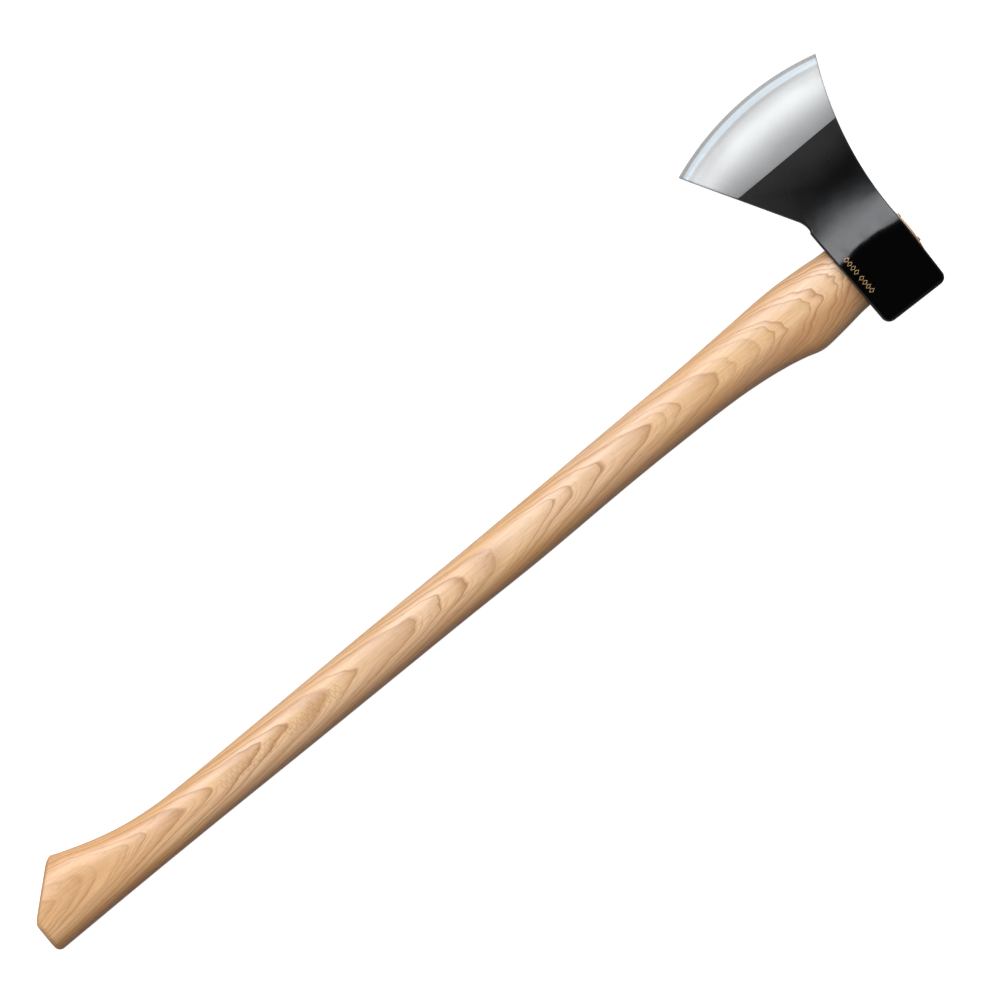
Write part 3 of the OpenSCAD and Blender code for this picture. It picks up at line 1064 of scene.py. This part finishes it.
def shaft_ring(below, inset, x_at, sides):
    """Section of the handle at a distance below the head."""
    back, front = curve(BACK_LINE, below), curve(FRONT_LINE, below)
    half = curve(HALF_THICKNESS, below) - inset
    middle, reach = (front + back) / 2, (front - back) / 2 - inset
    ring = []
    for unit_y, unit_z in oval(sides, SECTION_POWER):
        y = middle + reach * unit_y
        ring.append(Vector((x_at(y), y, half * unit_z)))
    return ring


def dome_x(y, proud):
    """Domed end of the tongue."""
    side = y - EYE_CENTRE
    return TONGUE_TOP - TONGUE_DOME + math.sqrt(TONGUE_DOME**2 - side**2) + proud


def tongue_rings(start, proud, sides, gap=TONGUE_GAP):
    """Sections of the tongue, from a height in the eye to its domed end."""
    stop = TONGUE_TOP - TONGUE_LINES_APART
    rings = [eye_ring(x, gap, sides) for x in spread(start, stop, TONGUE_LINES_APART)]
    for angle in quarter(RIM_STEPS):
        inset = TONGUE_RIM * (1 - math.cos(angle))
        fall = TONGUE_RIM * (1 - math.sin(angle))
        rings.append([
            Vector((dome_x(p[1], proud) - fall, p[1], p[2]))
            for p in eye_ring(TONGUE_TOP - TONGUE_RIM_START, gap + inset, sides)
        ])
    return rings


def wood_taper(gap, over):
    """The wooden wedge's taper, or with a gap round it the kerf that it sits in."""
    steep = (WEDGE_HALF - WEDGE_TIP_HALF) / WEDGE_DEPTH
    tip = (KERF_HALF_LENGTH, WEDGE_TIP_HALF + gap)
    top = (KERF_HALF_LENGTH, WEDGE_HALF + gap + steep * over)
    return tapered_block(EYE_CENTRE, TONGUE_TOP - WEDGE_DEPTH, TONGUE_TOP + over, tip, top)


def steel_taper(side, gap, over):
    """One steel wedge's taper, or with a gap round it the slot that it sits in."""
    steep = (STEEL_HALF - STEEL_TIP_HALF) / STEEL_LENGTH
    width = STEEL_HALF_WIDTH + gap
    return tapered_block(
        EYE_CENTRE + side * STEEL_SPACING / 2, TONGUE_TOP - STEEL_LENGTH, TONGUE_TOP + over,
        (STEEL_TIP_HALF + gap, width), (STEEL_HALF + gap + steep * over, width))


def cut_slots(piece):
    """Cuts the slots of both steel wedges into a piece of wood."""
    for side in (-1, 1):
        cutter = steel_taper(side, KERF_GAP / 2, CUTTER_OVER)
        carve(piece, finish_mesh("slot_cutter", cutter, []))


class MAUL_OT_handle(bpy.types.Operator):
    """Build the hickory handle, from its raked knob to the tongue in the eye"""

    bl_idname = "maul.handle"
    bl_label = "Handle"

    def execute(self, context):
        settings = context.scene.maul_handle
        sides = settings.sides
        rings = []
        for angle in reversed(quarter(BUTT_STEPS)):
            inset = BUTT_RIM * (1 - math.cos(angle))
            rise = BUTT_RIM * (1 - math.sin(angle))
            ring = shaft_ring(BUTT_SECTION, inset, lambda y, r=rise: butt_x(y) + r, sides)
            for point in ring:
                low = clamp(-point.y / BUTT_LOW_REACH) ** 2 * BUTT_LOW_RIM
                point.x += low * (1 - math.sin(angle))
                point.y += low * (1 - math.cos(angle))
            rings.append(ring)
        for below in (place for lines in SHAFT_LINES for place in spread(*lines)):
            rings.append(shaft_ring(below, 0, lambda y, b=below: -b, sides))
        for angle in quarter(RIM_STEPS):
            inset = SHOULDER_RIM * (1 - math.cos(angle))
            fall = SHOULDER_RIM * (1 - math.sin(angle))
            rings.append(shaft_ring(
                0, inset, lambda y, f=fall: UNDER_START - UNDER_LEAN * y - f, sides))
        rings += tongue_rings(2 * UNDER_START, -TONGUE_SUNK, sides)
        bm = bmesh.new()
        skin = loft(bm, rings)
        close_end(bm, skin[0])
        close_end(bm, skin[-1])
        handle = finish_mesh("hickory_handle", bm, [hickory_material(settings)])
        carve(handle, finish_mesh("kerf_cutter", wood_taper(KERF_GAP, CUTTER_OVER), []))
        cut_slots(handle)
        settle(handle, "hickory", "handle")
        return {"FINISHED"}


class MAUL_OT_wedges(bpy.types.Operator):
    """Build the wooden wedge and the two steel wedges across it"""

    bl_idname = "maul.wedges"
    bl_label = "Wedges"

    def execute(self, context):
        sides = context.scene.maul_handle.sides
        bm = bmesh.new()
        skin = loft(bm, tongue_rings(0, WOOD_PROUD, sides, TONGUE_GAP + WOOD_PROUD))
        close_end(bm, skin[0])
        close_end(bm, skin[-1])
        wedge = finish_mesh("wooden_wedge", bm, [wedge_wood_material()])
        carve(wedge, finish_mesh("taper_cutter", wood_taper(0, CUTTER_OVER), []), "INTERSECT")
        cut_slots(wedge)
        settle(wedge, "wedge_wood", "wood_wedge")
        steel = wedge_steel_material()
        for side, place in ((1, "front"), (-1, "rear")):
            bm = steel_taper(side, 0, STEEL_PROUD)
            bmesh.ops.bevel(
                bm, geom=bm.edges[:], offset=STEEL_ARRIS, segments=2, profile=0.5, material=-1,
                affect="EDGES")
            piece = finish_mesh(f"steel_cross_wedge_{place}", bm, [steel])
            settle(piece, "wedge_steel", f"steel_wedge_{place}")
        return {"FINISHED"}


# ---------------------------------------------------------------------------------------
# Stage


def studio_world(settings):
    """Room light: a soft panel, dark overhead, and glows low down and beyond the butt."""
    world = bpy.data.worlds.new("studio")
    world.use_nodes = True
    t = Tree(world.node_tree)
    world.node_tree.nodes.clear()
    x, y, z = t.split(t.add("ShaderNodeTexCoord").outputs["Generated"])
    lean = t.maths("ARCTAN2", y, z)
    swing = t.maths("ABSOLUTE", t.maths("SUBTRACT", t.maths("ARCSINE", x), PANEL_SWING))
    panel = t.maths("MULTIPLY", t.remap(lean, PANEL_NEAR, PANEL_NEAR + PANEL_NEAR_SOFT),
                    t.remap(lean, PANEL_FAR, PANEL_FAR - PANEL_FAR_SOFT))
    panel = t.maths("MULTIPLY", panel, t.remap(swing, PANEL_SWING_END, PANEL_HALF_SWING))
    overhead = t.remap(z, DARK_START, DARK_END, 1.0, 0.03)
    horizon = t.maths("MULTIPLY", t.remap(z, 0.4, 0.05), t.remap(y, -0.7, 0.3, 0.0, LOW_GLOW))
    room = t.maths("MULTIPLY", t.maths("ADD", overhead, horizon), settings.fill_strength)
    facing = t.vector("DOT_PRODUCT", t.join(x, y, z), BUTT_GLOW_FROM, output=1)
    room = t.maths("ADD", room, t.remap(facing, 0.7, 0.95, 0.0, BUTT_GLOW))
    light = t.maths("ADD", room, t.maths("MULTIPLY", panel, settings.key_strength))
    seen = t.add("ShaderNodeLightPath").outputs["Is Camera Ray"]
    lit = t.add("ShaderNodeBackground", {"Color": DAYLIGHT, "Strength": light})
    white = t.add("ShaderNodeBackground", {"Color": (1, 1, 1, 1), "Strength": 1.0})
    both = t.add("ShaderNodeMixShader", {0: seen, 1: lit.outputs[0], 2: white.outputs[0]})
    t.add("ShaderNodeOutputWorld", {0: both.outputs[0]})
    return world


def floor_material(settings):
    """Pale floor that burns out to white where it is seen, and keeps faint shadows."""
    material, t, shader = new_material("pale_floor")
    shader["Base Color"].default_value = (*settings.floor_colour, 1)
    shader["Roughness"].default_value = 0.9
    seen = t.add("ShaderNodeLightPath").outputs["Is Camera Ray"]
    shader["Emission Color"].default_value = (1, 1, 1, 1)
    t.feed(shader["Emission Strength"], t.maths("MULTIPLY", seen, FLOOR_GLOW))
    return material


class MAUL_OT_stage(bpy.types.Operator):
    """Set the camera, the studio light and the pale floor that the maul lies on"""

    bl_idname = "maul.stage"
    bl_label = "Stage"

    def execute(self, context):
        settings = context.scene.maul_stage
        scene = context.scene
        scene.world = studio_world(settings)
        scene.view_settings.view_transform = "Standard"
        camera = bpy.data.objects.new("camera", bpy.data.cameras.new("camera"))
        aim = DATUM + PICTURE_MIDDLE * MM
        camera.location = aim + Vector((0, 0, settings.camera_height))
        camera.rotation_euler = (0, 0, -settings.camera_roll)
        camera.data.lens = (
            camera.data.sensor_width * settings.camera_height / settings.picture_width)
        scene.collection.objects.link(camera)
        scene.camera = camera
        bm = bmesh.new()
        bmesh.ops.create_grid(bm, x_segments=1, y_segments=1, size=FLOOR_HALF_WIDTH)
        tilt = Matrix.Rotation(settings.rest_roll, 4, "X") @ Matrix.Rotation(
            settings.rest_pitch, 4, "Y")
        pivot = DATUM + FLOOR_PIVOT * MM
        bmesh.ops.transform(bm, matrix=Matrix.Translation(pivot) @ tilt, verts=bm.verts)
        mesh = bpy.data.meshes.new("floor")
        bm.to_mesh(mesh)
        bm.free()
        mesh.materials.append(floor_material(settings))
        floor = bpy.data.objects.new("floor", mesh)
        scene.collection.objects.link(floor)
        return {"FINISHED"}


# ---------------------------------------------------------------------------------------
# Panel and registration


class MAUL_PT_panel(bpy.types.Panel):
    """Lists the maul's pieces in the sidebar."""

    bl_label = "Splitting Maul"
    bl_space_type = "VIEW_3D"
    bl_region_type = "UI"
    bl_category = "Maul"

    def draw(self, context):
        layout = self.layout
        for settings, operators in (
            (context.scene.maul_stage, (MAUL_OT_stage,)),
            (context.scene.maul_head, (MAUL_OT_head, MAUL_OT_gilt)),
            (context.scene.maul_handle, (MAUL_OT_handle, MAUL_OT_wedges)),
        ):
            box = layout.box()
            for operator in operators:
                box.operator(operator.bl_idname)
            for name in settings.__annotations__:
                box.prop(settings, name)


OPERATORS = (MAUL_OT_stage, MAUL_OT_head, MAUL_OT_gilt, MAUL_OT_handle, MAUL_OT_wedges)
CLASSES = (MAUL_PG_head, MAUL_PG_handle, MAUL_PG_stage, *OPERATORS, MAUL_PT_panel)


def register():
    for cls in CLASSES:
        bpy.utils.register_class(cls)
    bpy.types.Scene.maul_head = PointerProperty(type=MAUL_PG_head)
    bpy.types.Scene.maul_handle = PointerProperty(type=MAUL_PG_handle)
    bpy.types.Scene.maul_stage = PointerProperty(type=MAUL_PG_stage)


def unregister():
    del bpy.types.Scene.maul_stage
    del bpy.types.Scene.maul_handle
    del bpy.types.Scene.maul_head
    for cls in reversed(CLASSES):
        bpy.utils.unregister_class(cls)


def main():
    """Builds the maul and its stage."""
    register()
    bpy.ops.maul.stage()
    bpy.ops.maul.head()
    bpy.ops.maul.gilt()
    bpy.ops.maul.handle()
    bpy.ops.maul.wedges()


if __name__ == "__main__":
    main()
